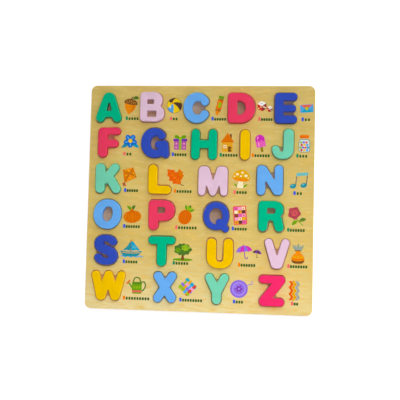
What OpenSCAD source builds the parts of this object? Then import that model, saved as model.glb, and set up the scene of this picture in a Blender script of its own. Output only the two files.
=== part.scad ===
// Wooden alphabet inset board: a printed top plate with letter shaped
// cut-outs, glued on a plain base plate, and 26 chunky painted letters that
// lift out. Millimetres, +Z up, origin at the centre of the underside.
// +X runs along the rows of letters, +Y towards the row that starts with A.

/* [Board] */
// Side of the square board
board_side = 300; // [298:1:320]
// Corner radius of the board, seen from above
board_corner_r = 8; // [3:0.5:12]
// Thickness of the plain plate under the letters
base_t = 3; // [2:0.5:6]
// Thickness of the cut-out plate, which is the depth of the recesses
top_t = 3; // [2.5:0.5:6]

/* [Letters] */
// Height of a capital letter
cap_h = 39.5; // [37:0.5:41]
// Thickness of a letter
letter_thick = 8; // [7:0.5:14]
// Radius of the cutter that rounds the inner corners of a letter
crotch_r = 0.9; // [0.4:0.1:1.2]

/* [Recesses] */
// Gap between a centred letter and the wall of its recess
fit_gap = 1.2; // [1.1:0.1:1.6]
// Radius of the router bit that cuts the recesses
bit_r = 2.6; // [1.6:0.2:3]

/* [Hidden] */
$fn = 48;

// Paint colours of the letters
GREEN   = [0.00, 0.70, 0.51];
PINK    = [0.89, 0.77, 0.84];
SKY     = [0.43, 0.68, 0.94];
CRIMSON = [0.93, 0.24, 0.39];
ROYAL   = [0.18, 0.28, 0.71];
YELLOW  = [0.94, 0.75, 0.02];
MINT    = [0.46, 0.83, 0.69];
BIRCH   = [0.85, 0.73, 0.44];
PLY     = [0.72, 0.60, 0.44];

// Where each recess is cut: [x, y] of its centre on the board
SEAT = [
  [-125.0, 119.5], [-65.5, 120.5], [ -6.0, 119.5], [ 54.0, 120.0], [111.5, 120.0],
  [-123.0,  72.0], [-60.0,  72.5], [  5.0,  71.5], [ 59.0,  71.0], [108.5,  72.5],
  [-123.0,  23.5], [-53.0,  24.5], [ 18.0,  23.0], [ 92.5,  25.0],
  [-122.5, -24.0], [-49.0, -23.5], [ 23.0, -24.5], [ 95.0, -23.0],
  [-123.0, -72.0], [-48.0, -71.0], [ 29.0, -71.5], [103.5, -71.0],
  [-118.5,-118.5], [-42.5,-118.5], [ 26.0,-119.0], [ 97.5,-118.5]];

// How far each letter lies off the centre of its recess: [x, y]
REST = [
  [ 0.5,  0.3], [-0.1,  0.2], [-0.4,    0], [-0.4, -0.4], [ 0.4, -0.3],
  [ 0.5,  0.1], [-0.2, -0.4], [ 0.3, -0.6], [ 0.4, -0.3], [-0.2,    0],
  [ 0.5,  0.5], [ 0.2, -0.5], [ 0.1, -0.2], [ 0.1, -0.1],
  [ 0.5, -0.1], [-0.1, -0.6], [ 0.4, -0.7], [-0.3,  0.6],
  [ 0.6,  0.4], [ 0.3, -0.3], [ 0.2, -0.7], [-0.3,  0.5],
  [ 0.7,  0.1], [ 0.3,    0], [ 0.2,  0.6], [ 0.2, -0.1]];

// ---------- drawing tools ----------

// A straight stroke with round ends, of radius r1 at p and r2 at q
module stroke(p, q, r1, r2) {
  d = norm(q - p);
  u = (q - p) / d;
  c = (r1 - r2) / d;
  s = sqrt(1 - c * c);
  n1 = [u[0] * c - u[1] * s, u[1] * c + u[0] * s];
  n2 = [u[0] * c + u[1] * s, u[1] * c - u[0] * s];
  translate(p) circle(r1);
  translate(q) circle(r2);
  polygon([p + r1 * n1, p + r1 * n2, q + r2 * n2, q + r2 * n1]);
}

// The same stroke on both sides of the Y axis
module twin(p, q, r1, r2) {
  stroke(p, q, r1, r2);
  mirror([1, 0]) stroke(p, q, r1, r2);
}

// Points of a rounded oval, between an ellipse (k = 2) and a rounded box
function sgn_pow(v, e) = sign(v) * pow(abs(v), e);
function oval_points(rx, ry, k, n) =
  [for (i = [0:n - 1]) let (a = 360 * i / n)
    [rx * sgn_pow(cos(a), 2 / k), ry * sgn_pow(sin(a), 2 / k)]];
module oval(c, rx, ry, k = 2.15) translate(c) polygon(oval_points(rx, ry, k, 2 * $fn));

// A box between two corners with rounded corners
module box2(lo, hi, r) {
  for (x = [lo[0] + r, hi[0] - r], y = [lo[1] + r, hi[1] - r])
    translate([x, y]) circle(r);
  translate([lo[0] + r, lo[1]]) square([hi[0] - lo[0] - 2 * r, hi[1] - lo[1]]);
  translate([lo[0], lo[1] + r]) square([hi[0] - lo[0], hi[1] - lo[1] - 2 * r]);
}

// A box with corners of radius r on its left and R on its right
module dee(lo, hi, r, R) {
  for (y = [lo[1] + r, hi[1] - r]) translate([lo[0] + r, y]) circle(r);
  for (y = [lo[1] + R, hi[1] - R]) translate([hi[0] - R, y]) circle(R);
  translate([lo[0] + r, lo[1]]) square([hi[0] - R - lo[0] - r, hi[1] - lo[1]]);
  translate([lo[0], lo[1] + r]) square([2 * r, hi[1] - lo[1] - 2 * r]);
  translate([hi[0] - 2 * R, lo[1] + R]) square([2 * R, hi[1] - lo[1] - 2 * R]);
}

// A point on a Bezier curve, and a brush stroke along a chain of curves,
// whose last column is the radius of the brush
function bez(c, t) = let (s = 1 - t)
  s * s * s * c[0] + 3 * s * s * t * c[1] + 3 * s * t * t * c[2] + t * t * t * c[3];
module brush(curves) {
  steps = $fn / 4;
  for (c = curves, i = [0:steps - 1])
    let (a = bez(c, i / steps), b = bez(c, (i + 1) / steps))
      stroke([a[0], a[1]], [b[0], b[1]], a[2], b[2]);
}

// ---------- the 26 outlines, each about 40 high and centred ----------

module glyph_a() difference() {
  union() {
    twin([0, 12], [11.6, -14.4], 8, 5.6);
    polygon([[0, 12], [11.6, -13.2], [-11.6, -13.2]]);
  }
  polygon([[-3.2, -5.1], [4.1, -5.1], [1.6, 5.6], [-1, 5.6]]);
}
module glyph_b() difference() {
  union() {
    box2([-16.2, -20], [2, 20], 5);
    oval([0, 9.2], 13.4, 10.8, 2.5);
    oval([1, -9], 15.4, 11, 2.5);
    box2([-14, -20], [6, 20], 4);
  }
  box2([-7.1, 3.5], [2.2, 10], 1.8);
  box2([-6.9, -14], [6.1, -5.4], 1.8);
}
module glyph_c() offset(r = 1.5) offset(delta = -1.5) {
  difference() {
    oval([0.7, 0.1], 17.7, 20.3);
    oval([2.2, 0], 7.5, 9.4);
    translate([2.2, -8.8]) square([18, 17.6]);
  }
  translate([11.4, 8.8]) circle(5.4);
  translate([11.4, -8.8]) circle(5.4);
}
module glyph_d() difference() {
  union() {
    box2([-18, -20], [-2, 20], 4.6);
    intersection() {
      oval([-2.4, 0], 20.4, 20, 2.15);
      translate([-6, -20]) square([30, 40]);
    }
  }
  intersection() {
    oval([-3.4, 0], 8.9, 9.4, 2.1);
    translate([-5.5, -10]) square([20, 20]);
  }
}
module glyph_e() {
  box2([-14.6, -20], [-3.4, 20], 5.2);
  stroke([-9.2, 15.1], [9.6, 15.1], 4.9, 4.9);
  stroke([-8, -0.4], [8.6, -0.4], 4.4, 4.4);
  stroke([-9.2, -15.1], [9.6, -15.1], 4.9, 4.9);
}
module glyph_f() {
  stroke([-8.9, 13.8], [-8.9, -13.9], 6.1, 6.1);
  box2([-15, 8], [-2.8, 20], 5.2);
  stroke([-9, 15.6], [10.5, 15.6], 4.4, 4.4);
  stroke([-8, -1.2], [7.3, -1.2], 4.9, 4.9);
}
module glyph_g() offset(r = 1.5) offset(delta = -1.5) {
  difference() {
    oval([-1.2, 0], 17.8, 20);
    oval([0.6, 0], 7.2, 9.4);
    translate([3, -4]) square([16, 14.4]);
  }
  translate([8.4, 10.3]) circle(5.3);
  stroke([4.6, -2.4], [12, -2], 4.6, 5.4);
  stroke([12.2, -2], [14.2, -15.2], 5.3, 4.8);
  stroke([12.2, -2], [9, -13], 5, 5);
}
module glyph_h() {
  twin([11.6, 14.5], [11.6, -14.7], 5.6, 5.6);
  translate([-12, -5]) square([24, 10.3]);
}
module glyph_i() stroke([0, 13.6], [0, -13.6], 6.4, 6.4);
module glyph_j() {
  stroke([7.7, 13.4], [7.7, -5.5], 6.6, 6.6);
  difference() {
    oval([0.2, -6.2], 14.1, 13.8, 2.2);
    translate([-20, -6.2]) square([40, 20]);
    stroke([-1.7, 4], [-1.7, -7.9], 2.5, 2.5);
  }
  translate([-9.2, -7.2]) circle(4.8);
}
module glyph_k() {
  stroke([-10.9, 13.9], [-10.9, -13.9], 6.1, 6.1);
  stroke([9.2, 14.5], [-4, -2.2], 5.4, 5.4);
  stroke([11.3, -14.3], [0.8, 2.6], 5.7, 5.7);
}
module glyph_l() {
  stroke([-9.4, 13.4], [-9.2, -14], 5.9, 5.9);
  stroke([-9.8, -14.6], [10, -14.6], 5.4, 5.4);
}
module glyph_m() {
  twin([-13.2, 13], [-14.8, -15.2], 6.2, 4.7);
  twin([-10, 14], [0, -15.6], 5.2, 4.4);
}
module glyph_n() {
  stroke([-11.6, 14], [-11.6, -14.6], 5.4, 5.4);
  stroke([11.6, 14.3], [11.6, -14.3], 5.4, 5.4);
  stroke([-8.8, 14], [8.8, -14.7], 4.9, 4.9);
}
module glyph_o() difference() {
  rotate(-9) oval([0, 0], 18.6, 20, 2.15);
  rotate(-13) oval([0.2, 0.2], 6.9, 10.2, 2.2);
}
module glyph_p() difference() {
  union() {
    stroke([-10.9, 13.5], [-10.8, -13.7], 6.3, 6.3);
    box2([-17.3, 2], [-3, 20], 5.4);
    box2([-14, -7.6], [4, 20], 2);
    oval([1.6, 6.2], 15.7, 13.8, 2.3);
  }
  dee([-5.3, 2.8], [5.1, 11], 1.2, 3.6);
}
module glyph_q() {
  difference() {
    oval([0, 1.5], 17, 18.5, 2.1);
    oval([-0.4, 1.5], 8.7, 10.6, 2.1);
  }
  stroke([4.4, -6.6], [12.6, -15.3], 4.6, 4.4);
  translate([7, -9]) square([6, 6]);
}
module glyph_r() difference() {
  union() {
    box2([-16.4, -2], [2, 20], 5.2);
    oval([1.6, 8.8], 14.6, 11.2, 2.4);
    box2([-14, -11], [8, 12], 2);
    stroke([-10.4, 10], [-10.4, -14.2], 6, 5.8);
    stroke([8.4, -4.6], [11, -14.2], 6.2, 5.8);
  }
  dee([-5.1, 3.3], [5.8, 10.9], 1.2, 3.4);
  stroke([-0.4, -9], [1.5, -30], 3.8, 5.6);
}
module glyph_s() brush([
  [[9.4, 10.9, 4.9], [7.6, 17, 4.2], [-9.8, 18.2, 3.9], [-9.8, 8.8, 6.1]],
  [[-9.8, 8.8, 6.1], [-9.8, -2.4, 6], [9.8, 2.4, 6], [9.8, -8.8, 6.1]],
  [[9.8, -8.8, 6.1], [9.8, -18.2, 3.9], [-7.6, -17, 4.2], [-10.2, -10.6, 5.1]]]);
module glyph_t() {
  stroke([-12.8, 14.2], [12.8, 14.2], 5.1, 5.1);
  stroke([0.1, 12], [0.1, -14], 6.1, 6.1);
}
module glyph_u() difference() {
  union() {
    twin([11.1, 13.2], [11.1, -4], 6.2, 6.2);
    intersection() {
      oval([0, -4], 17.3, 16, 2.3);
      translate([-20, -20]) square([40, 16]);
    }
    translate([-8, -14]) square([16, 12]);
  }
  stroke([0, 30], [0, -6.6], 4.9, 4.9);
}
module glyph_v() {
  twin([11, 14.2], [2.3, -14.2], 5.1, 5.2);
  translate([0, -13.2]) circle(6.6);
}
module glyph_w() {
  twin([-17.5, 14], [-10, -13.8], 5, 5.9);
  twin([0, 14.2], [-9.2, -13.8], 5.1, 5.8);
}
module glyph_x() {
  twin([-9.5, 14.5], [9.3, -14.5], 5.5, 5.5);
}
module glyph_y() {
  twin([10, 14.6], [0.4, -4], 5.4, 5.8);
  stroke([0, -3], [0, -14], 6, 6);
}
module glyph_z() {
  stroke([-12.1, 14.6], [11.4, 14.5], 4.9, 5);
  stroke([10.7, 13.6], [-10.4, -13.8], 6, 6);
  stroke([-11.2, -15], [11, -15], 5, 5);
}

// ---------- pieces ----------

// A letter as it is cut: its outline with the inner corners eased
module outline() offset(r = -crotch_r) offset(delta = crotch_r)
  scale(cap_h / 40) children();

// One letter, standing on the base plate at its place in the alphabet
module letter(i) translate([SEAT[i][0] + REST[i][0], SEAT[i][1] + REST[i][1], base_t])
  linear_extrude(letter_thick) outline() children();

// The cut-out for one letter: wider all round, filled inside, and with every
// gap that is too narrow for the router bit run into one
module seat(i) {
  $fn = 40;
  translate(SEAT[i]) offset(r = -bit_r) fill() offset(delta = bit_r + fit_gap)
    scale(cap_h / 40) children();
}

module plate_outline() {
  h = board_side / 2;
  box2([-h, -h], [h, h], board_corner_r);
}

module base_plate() color(PLY) linear_extrude(base_t) plate_outline();

module top_plate() color(BIRCH) translate([0, 0, base_t]) linear_extrude(top_t)
  difference() {
    plate_outline();
    seat(0) glyph_a();   seat(1) glyph_b();   seat(2) glyph_c();
    seat(3) glyph_d();   seat(4) glyph_e();   seat(5) glyph_f();
    seat(6) glyph_g();   seat(7) glyph_h();   seat(8) glyph_i();
    seat(9) glyph_j();   seat(10) glyph_k();  seat(11) glyph_l();
    seat(12) glyph_m();  seat(13) glyph_n();  seat(14) glyph_o();
    seat(15) glyph_p();  seat(16) glyph_q();  seat(17) glyph_r();
    seat(18) glyph_s();  seat(19) glyph_t();  seat(20) glyph_u();
    seat(21) glyph_v();  seat(22) glyph_w();  seat(23) glyph_x();
    seat(24) glyph_y();  seat(25) glyph_z();
  }

module letter_a() color(GREEN)   letter(0) glyph_a();
module letter_b() color(PINK)    letter(1) glyph_b();
module letter_c() color(SKY)     letter(2) glyph_c();
module letter_d() color(CRIMSON) letter(3) glyph_d();
module letter_e() color(ROYAL)   letter(4) glyph_e();
module letter_f() color(CRIMSON) letter(5) glyph_f();
module letter_g() color(ROYAL)   letter(6) glyph_g();
module letter_h() color(GREEN)   letter(7) glyph_h();
module letter_i() color(YELLOW)  letter(8) glyph_i();
module letter_j() color(MINT)    letter(9) glyph_j();
module letter_k() color(MINT)    letter(10) glyph_k();
module letter_l() color(YELLOW)  letter(11) glyph_l();
module letter_m() color(PINK)    letter(12) glyph_m();
module letter_n() color(SKY)     letter(13) glyph_n();
module letter_o() color(SKY)     letter(14) glyph_o();
module letter_p() color(CRIMSON) letter(15) glyph_p();
module letter_q() color(ROYAL)   letter(16) glyph_q();
module letter_r() color(GREEN)   letter(17) glyph_r();
module letter_s() color(ROYAL)   letter(18) glyph_s();
module letter_t() color(GREEN)   letter(19) glyph_t();
module letter_u() color(YELLOW)  letter(20) glyph_u();
module letter_v() color(PINK)    letter(21) glyph_v();
module letter_w() color(YELLOW)  letter(22) glyph_w();
module letter_x() color(SKY)     letter(23) glyph_x();
module letter_y() color(MINT)    letter(24) glyph_y();
module letter_z() color(CRIMSON) letter(25) glyph_z();

base_plate();
top_plate();
letter_a();
letter_b();
letter_c();
letter_d();
letter_e();
letter_f();
letter_g();
letter_h();
letter_i();
letter_j();
letter_k();
letter_l();
letter_m();
letter_n();
letter_o();
letter_p();
letter_q();
letter_r();
letter_s();
letter_t();
letter_u();
letter_v();
letter_w();
letter_x();
letter_y();
letter_z();
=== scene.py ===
import math

import bpy
import numpy as np
from mathutils import Matrix, Vector
from mathutils.geometry import tessellate_polygon


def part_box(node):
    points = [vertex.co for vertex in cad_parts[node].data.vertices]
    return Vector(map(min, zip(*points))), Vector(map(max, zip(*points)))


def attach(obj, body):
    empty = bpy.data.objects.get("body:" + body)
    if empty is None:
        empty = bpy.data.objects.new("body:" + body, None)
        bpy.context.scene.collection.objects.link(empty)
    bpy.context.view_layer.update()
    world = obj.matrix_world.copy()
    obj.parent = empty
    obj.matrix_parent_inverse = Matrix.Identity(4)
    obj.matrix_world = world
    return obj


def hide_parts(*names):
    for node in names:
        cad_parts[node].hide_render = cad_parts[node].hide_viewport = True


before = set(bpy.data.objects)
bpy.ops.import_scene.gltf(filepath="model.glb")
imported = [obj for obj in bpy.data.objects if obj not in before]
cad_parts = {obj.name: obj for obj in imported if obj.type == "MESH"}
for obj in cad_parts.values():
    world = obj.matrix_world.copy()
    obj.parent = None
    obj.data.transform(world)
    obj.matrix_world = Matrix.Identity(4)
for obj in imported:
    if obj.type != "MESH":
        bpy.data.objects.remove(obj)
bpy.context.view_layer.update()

MM = 0.001
scene = bpy.context.scene

# ---------------------------------------------------------------- heights, mm
BASE_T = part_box("base_plate")[1].z / MM
FACE_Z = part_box("top_plate")[1].z / MM
LETTER_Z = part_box("letter_a")[1].z / MM

LETTERS = "abcdefghijklmnopqrstuvwxyz"
PAINTS = {
    "paint_green": "ahrt",
    "paint_pink": "bmv",
    "paint_sky": "cnox",
    "paint_crimson": "dfpz",
    "paint_royal": "egqs",
    "paint_yellow": "iluw",
    "paint_mint": "jky",
}

# ---------------------------------------------------------------- outlines


def tidy(loop):
    """Drops points that nearly coincide."""
    kept = []
    for p in loop:
        if not kept or math.dist(p, kept[-1]) > 0.05:
            kept.append(p)
    while len(kept) > 3 and math.dist(kept[0], kept[-1]) <= 0.05:
        kept.pop()
    return np.array(kept, float)


def edges_of(P):
    E = np.roll(P, -1, 0) - P
    L = np.hypot(E[:, 0], E[:, 1])
    return E / L[:, None], L


def refine(P):
    """Adds a point on each chord of an arc, so that curves read as curves."""
    T, L = edges_of(P)
    Tp = np.roll(T, 1, 0)
    turn = np.arctan2(Tp[:, 0] * T[:, 1] - Tp[:, 1] * T[:, 0], (Tp * T).sum(1))
    V = Tp + T
    V /= np.maximum(np.hypot(V[:, 0], V[:, 1]), 1e-9)[:, None]
    out = []
    n = len(P)
    for i in range(n):
        j = (i + 1) % n
        out.append(P[i])
        near = min(L[i - 1], L[j])
        if (
            0.6 < L[i] <= 1.45 * near
            and 0.01 < abs(turn[i]) < 0.42
            and 0.01 < abs(turn[j]) < 0.42
            and turn[i] * turn[j] > 0
        ):
            out.append((P[i] + P[j]) / 2 + (V[i] - V[j]) * L[i] / 8)
    return np.array(out)


def area(P):
    x, y = P[:, 0], P[:, 1]
    return float((x * np.roll(y, -1) - np.roll(x, -1) * y).sum() / 2)


def outline(node, z):
    """Loops round a node's flat face at height z, in mm, material on the left, outer loop first."""
    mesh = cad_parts[node].data
    co = np.empty(len(mesh.vertices) * 3, np.float32)
    mesh.vertices.foreach_get("co", co)
    co = co.reshape(-1, 3).astype(float) / MM
    key = [(round(c[0], 3), round(c[1], 3)) for c in co]
    flat = np.abs(co[:, 2] - z) < 0.002
    half = set()
    for p in mesh.polygons:
        if all(flat[v] for v in p.vertices):
            ks = [key[v] for v in p.vertices]
            for a, b in zip(ks, ks[1:] + ks[:1]):
                if (b, a) in half:
                    half.remove((b, a))
                elif a != b:
                    half.add((a, b))
    step = dict(half)
    loops = []
    while step:
        a = min(step)
        loop = []
        while a in step:
            loop.append(a)
            a = step.pop(a)
        loops.append(refine(tidy(loop)))
    loops.sort(key=lambda P: -abs(area(P)))
    if area(loops[0]) < 0:
        loops = [P[::-1] for P in loops]
    return loops


def miters(P):
    """Per point: the inward move that insets both its edges by 1, and the inward unit normal."""
    T, _ = edges_of(P)
    N = np.c_[-T[:, 1], T[:, 0]]
    Np = np.roll(N, 1, 0)
    s = Np + N
    m = s / np.maximum(1 + (Np * N).sum(1), 0.25)[:, None]
    length = np.hypot(m[:, 0], m[:, 1])
    m *= np.minimum(1.0, 1.45 / length)[:, None]
    return m, s / np.maximum(np.hypot(s[:, 0], s[:, 1]), 1e-9)[:, None]


def cap(rings, up):
    """Triangles over a flat face with holes, as (ring, point) pairs."""
    flat = [(r, i) for r, ring in enumerate(rings) for i in range(len(ring))]
    made = []
    for tri in tessellate_polygon([[Vector((x, y, 0)) for x, y in ring] for ring in rings]):
        a, b, c = (rings[flat[k][0]][flat[k][1]] for k in tri)
        turn = (b[0] - a[0]) * (c[1] - a[1]) - (b[1] - a[1]) * (c[0] - a[0])
        if abs(turn) < 1e-9:
            continue
        made.append([flat[k] for k in (tri if (turn > 0) == up else tri[::-1])])
    return made


def add_object(name, mesh, body):
    obj = bpy.data.objects.new(name, mesh)
    scene.collection.objects.link(obj)
    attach(obj, body)
    return obj


def slab(name, loops, z0, z1, top_r, low_r, materials, part, steps=6, low_steps=3):
    """Solid over the loops from z0 to z1 with rounded rims. top_r and low_r give the rim radius of
    the outer loop and of the holes. part gives the material index of top, low, outer, hole and rim faces."""
    verts, normals, edge, faces, index = [], [], [], [], []
    tops, lows, top_ids, low_ids = [], [], [], []
    for k, P in enumerate(loops):
        hole = k > 0
        m, n = miters(P)
        rt, rb = top_r[hole], low_r[hole]
        rows = []
        for s in range(low_steps + 1):
            a = -math.pi / 2 * (1 - s / low_steps)
            rows.append((rb * (1 - math.cos(a)), z0 + rb * (1 + math.sin(a)), a))
        for s in range(steps + 1):
            a = math.pi / 2 * s / steps
            rows.append((rt * (1 - math.cos(a)), z1 - rt * (1 - math.sin(a)), a))
        ids = []
        for d, z, a in rows:
            ring = P + m * d
            ids.append(range(len(verts), len(verts) + len(P)))
            verts += [(x * MM, y * MM, z * MM) for x, y in ring]
            normals += [(-x * math.cos(a), -y * math.cos(a), math.sin(a)) for x, y in n]
            edge += [max(0.0, math.sin(2 * a)) if a > 0 else 0.0] * len(P)
        for r in range(len(rows) - 1):
            lo, hi = ids[r], ids[r + 1]
            rim = r > low_steps
            kind = "rim" if rim else ("hole" if hole else "outer")
            for i in range(len(P)):
                j = (i + 1) % len(P)
                faces.append((lo[i], lo[j], hi[j], hi[i]))
                index.append(part[kind])
        lows.append(P + m * rows[0][0])
        tops.append(P + m * rows[-1][0])
        low_ids.append(ids[0])
        top_ids.append(ids[-1])
    for rings, ids, up, kind in ((tops, top_ids, True, "top"), (lows, low_ids, False, "low")):
        for tri in cap(rings, up):
            faces.append([ids[r][i] for r, i in tri])
            index.append(part[kind])
    mesh = bpy.data.meshes.new(name)
    mesh.from_pydata(verts, [], faces)
    for m in materials:
        mesh.materials.append(m)
    mesh.polygons.foreach_set("material_index", index)
    mesh.polygons.foreach_set("use_smooth", [True] * len(faces))
    mesh.attributes.new("edge", "FLOAT", "POINT").data.foreach_set("value", edge)
    mesh.update()
    mesh.normals_split_custom_set_from_vertices(normals)
    return mesh


# ---------------------------------------------------------------- materials


def lin(r, g, b):
    def one(c):
        c /= 255
        return c / 12.92 if c <= 0.04045 else ((c + 0.055) / 1.055) ** 2.4

    return (one(r), one(g), one(b), 1.0)


def tone(c, k):
    return tuple(min(1.0, x * k) for x in c[:3]) + (1.0,)


class Tree:
    """A Principled material whose colour, roughness and bump come from nodes."""

    def __init__(self, name, **sockets):
        self.mat = bpy.data.materials.new(name)
        self.mat.use_nodes = True
        self.nodes = self.mat.node_tree.nodes
        self.links = self.mat.node_tree.links
        self.nodes.clear()
        out = self.nodes.new("ShaderNodeOutputMaterial")
        self.bsdf = self.nodes.new("ShaderNodeBsdfPrincipled")
        self.links.new(self.bsdf.outputs[0], out.inputs[0])
        for k, v in sockets.items():
            self.bsdf.inputs[k.replace("_", " ")].default_value = v
        at = self.nodes.new("ShaderNodeTexCoord")
        big = self.nodes.new("ShaderNodeVectorMath")
        big.operation = "SCALE"
        big.inputs["Scale"].default_value = 1000.0
        self.links.new(at.outputs["Object"], big.inputs[0])
        self.mm = big.outputs[0]

    def put(self, socket, value):
        if isinstance(value, bpy.types.NodeSocket):
            self.links.new(value, socket)
        else:
            socket.default_value = value

    def noise(self, scale, detail=2.0, rough=0.5, at=None, shift=(0, 0, 0), warp=0.0, colour=False):
        m = self.nodes.new("ShaderNodeMapping")
        self.put(m.inputs["Vector"], at or self.mm)
        m.inputs["Location"].default_value = shift
        m.inputs["Scale"].default_value = scale
        n = self.nodes.new("ShaderNodeTexNoise")
        self.links.new(m.outputs[0], n.inputs["Vector"])
        n.inputs["Scale"].default_value = 1.0
        n.inputs["Detail"].default_value = detail
        n.inputs["Roughness"].default_value = rough
        n.inputs["Distortion"].default_value = warp
        return n.outputs["Color" if colour else "Fac"]

    def cells(self, scale, at=None):
        m = self.nodes.new("ShaderNodeMapping")
        self.put(m.inputs["Vector"], at or self.mm)
        m.inputs["Scale"].default_value = scale
        n = self.nodes.new("ShaderNodeTexVoronoi")
        self.links.new(m.outputs[0], n.inputs["Vector"])
        n.inputs["Scale"].default_value = 1.0
        return n.outputs["Distance"]

    def math(self, op, a, b=0.0, c=0.0):
        n = self.nodes.new("ShaderNodeMath")
        n.operation = op
        for s, v in zip(n.inputs, (a, b, c)):
            self.put(s, v)
        return n.outputs[0]

    def span(self, x, lo, hi, to_lo=0.0, to_hi=1.0):
        n = self.nodes.new("ShaderNodeMapRange")
        n.interpolation_type = "SMOOTHSTEP"
        for k, v in zip(("Value", "From Min", "From Max", "To Min", "To Max"), (x, lo, hi, to_lo, to_hi)):
            self.put(n.inputs[k], v)
        return n.outputs[0]

    def mix(self, fac, a, b, blend="MIX"):
        n = self.nodes.new("ShaderNodeMix")
        n.data_type = "RGBA"
        n.blend_type = blend
        self.put(n.inputs[0], fac)
        self.put(n.inputs[6], a)
        self.put(n.inputs[7], b)
        return n.outputs[2]

    def vector(self, op, a, b):
        n = self.nodes.new("ShaderNodeVectorMath")
        n.operation = op
        self.put(n.inputs[0], a)
        self.put(n.inputs[1], b)
        return n.outputs[0]

    def axis(self, which, of=None):
        n = self.nodes.new("ShaderNodeSeparateXYZ")
        self.put(n.inputs[0], of or self.mm)
        return n.outputs[which]

    def attribute(self, name):
        n = self.nodes.new("ShaderNodeAttribute")
        n.attribute_name = name
        return n.outputs["Fac"]

    def bump(self, height, depth_mm, strength=1.0):
        n = self.nodes.new("ShaderNodeBump")
        n.inputs["Strength"].default_value = strength
        n.inputs["Distance"].default_value = depth_mm * MM
        self.put(n.inputs["Height"], height)
        self.put(self.bsdf.inputs["Normal"], n.outputs[0])

    def done(self, colour, rough=None):
        self.put(self.bsdf.inputs["Base Color"], colour)
        if rough is not None:
            self.put(self.bsdf.inputs["Roughness"], rough)
        return self.mat


def wavy(t, amount):
    """Object coordinates with the grain lines gently bent across the board."""
    w = t.noise((0.008, 0.02, 0.02), 2.0, colour=True)
    off = t.vector("SUBTRACT", w, (0.5, 0.5, 0.5))
    return t.vector("ADD", t.mm, t.vector("MULTIPLY", off, (0.0, amount, amount * 0.3)))


def wood_face():
    """Pale lacquered face: smooth yellow ground, sparse short golden streaks along X that grow
    stronger towards -Y and, towards +X, a little more golden. Towards -Y the ground is painted paler and brighter:
    painted light and sheen."""
    t = Tree("maple_face", Specular_IOR_Level=0.30, Specular_Tint=(1.0, 0.86, 0.52, 1.0))
    g = wavy(t, 9.0)
    y = t.axis("Y")
    down = t.span(y, 120.0, -130.0)
    broad = t.noise((0.018, 0.045, 0.1), 2.0, 0.55, g)
    band = t.noise((0.034, 0.13, 0.3), 2.0, 0.55, g, (40, 3, 0))
    dash = t.noise((0.075, 0.36, 1.0), 1.0, 0.4, g, (0, 70, 0))
    tick = t.noise((0.13, 0.80, 1.0), 1.0, 0.5, g, (90, 0, 5))
    fleck = t.noise((0.10, 0.40, 1.0), 1.0, 0.5, g, (33, 15, 5))
    fine = t.noise((0.4, 6.0, 2.0), 2.0, 0.6, g)
    # painted light and sheen: the ground is painted brighter and paler towards -Y, as if lit more strongly there
    c = t.mix(t.span(y, 150.0, -80.0), lin(210, 182, 102), lin(213, 186, 104))
    c = t.mix(t.span(y, -50.0, -150.0), c, lin(232, 215, 158))
    honey = t.math("MULTIPLY", t.span(t.axis("X"), -30.0, 110.0), t.span(y, -20.0, -110.0))
    c = t.mix(t.math("MULTIPLY", honey, 0.30), c, lin(224, 188, 82))
    c = t.mix(t.span(broad, 0.30, 0.70, 0.32, 0.0), c, lin(208, 172, 76))
    c = t.mix(t.span(band, 0.40, 0.72, 0.0, 0.34), c, lin(230, 206, 128))
    c = t.mix(t.math("MULTIPLY", t.span(dash, 0.50, 0.72), t.span(down, 0.0, 1.0, 0.30, 0.52)), c, lin(228, 184, 62))
    c = t.mix(t.math("MULTIPLY", t.span(tick, 0.60, 0.80), t.span(down, 0.0, 1.0, 0.16, 0.30)), c, lin(220, 166, 54))
    c = t.mix(t.span(fleck, 0.56, 0.76, 0.0, 0.24), c, lin(238, 222, 164))
    c = t.mix(t.span(fine, 0.30, 0.72, 0.05, 0.0), c, lin(238, 220, 160))
    rough = t.span(fine, 0.25, 0.75, 0.36, 0.52)
    h = t.math("ADD", t.math("MULTIPLY", fine, 0.6), t.span(dash, 0.55, 0.72, 0.4, 0.0))
    t.bump(h, 0.05, 0.5)
    return t.done(c, rough)


def ply_edge(name, layer, pale, dark):
    """Sawn plywood edge: plies across the thickness, alternating long grain and end grain."""
    t = Tree(name, Specular_IOR_Level=0.25)
    wob = t.noise((0.05, 0.05, 0.4), 2.0)
    z = t.math("ADD", t.axis("Z"), t.math("MULTIPLY_ADD", wob, 0.30, -0.15))
    turn = t.math("PINGPONG", t.math("DIVIDE", z, layer), 1.0)
    plies = t.span(turn, 0.42, 0.58)
    along = t.noise((0.10, 0.10, 5.0), 3.0, 0.6)
    ends = t.noise((2.6, 2.6, 2.0), 2.0, 0.6)
    a = t.mix(t.span(along, 0.3, 0.7), tone(pale, 1.06), tone(pale, 0.84))
    b = t.mix(t.span(ends, 0.3, 0.7), tone(dark, 1.12), tone(dark, 0.78))
    c = t.mix(plies, a, b)
    glue = t.math("SUBTRACT", 1.0, t.span(t.math("ABSOLUTE", t.math("SUBTRACT", turn, 0.5)), 0.02, 0.12))
    c = t.mix(t.math("MULTIPLY", glue, 0.35), c, lin(92, 58, 30))
    rub = t.attribute("edge")
    c = t.mix(t.math("MULTIPLY", rub, 0.35), c, tone(pale, 1.12))
    t.bump(t.math("ADD", along, t.math("MULTIPLY", ends, 0.5)), 0.12, 0.6)
    return t.done(c, t.span(ends, 0.2, 0.8, 0.55, 0.75))


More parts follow.
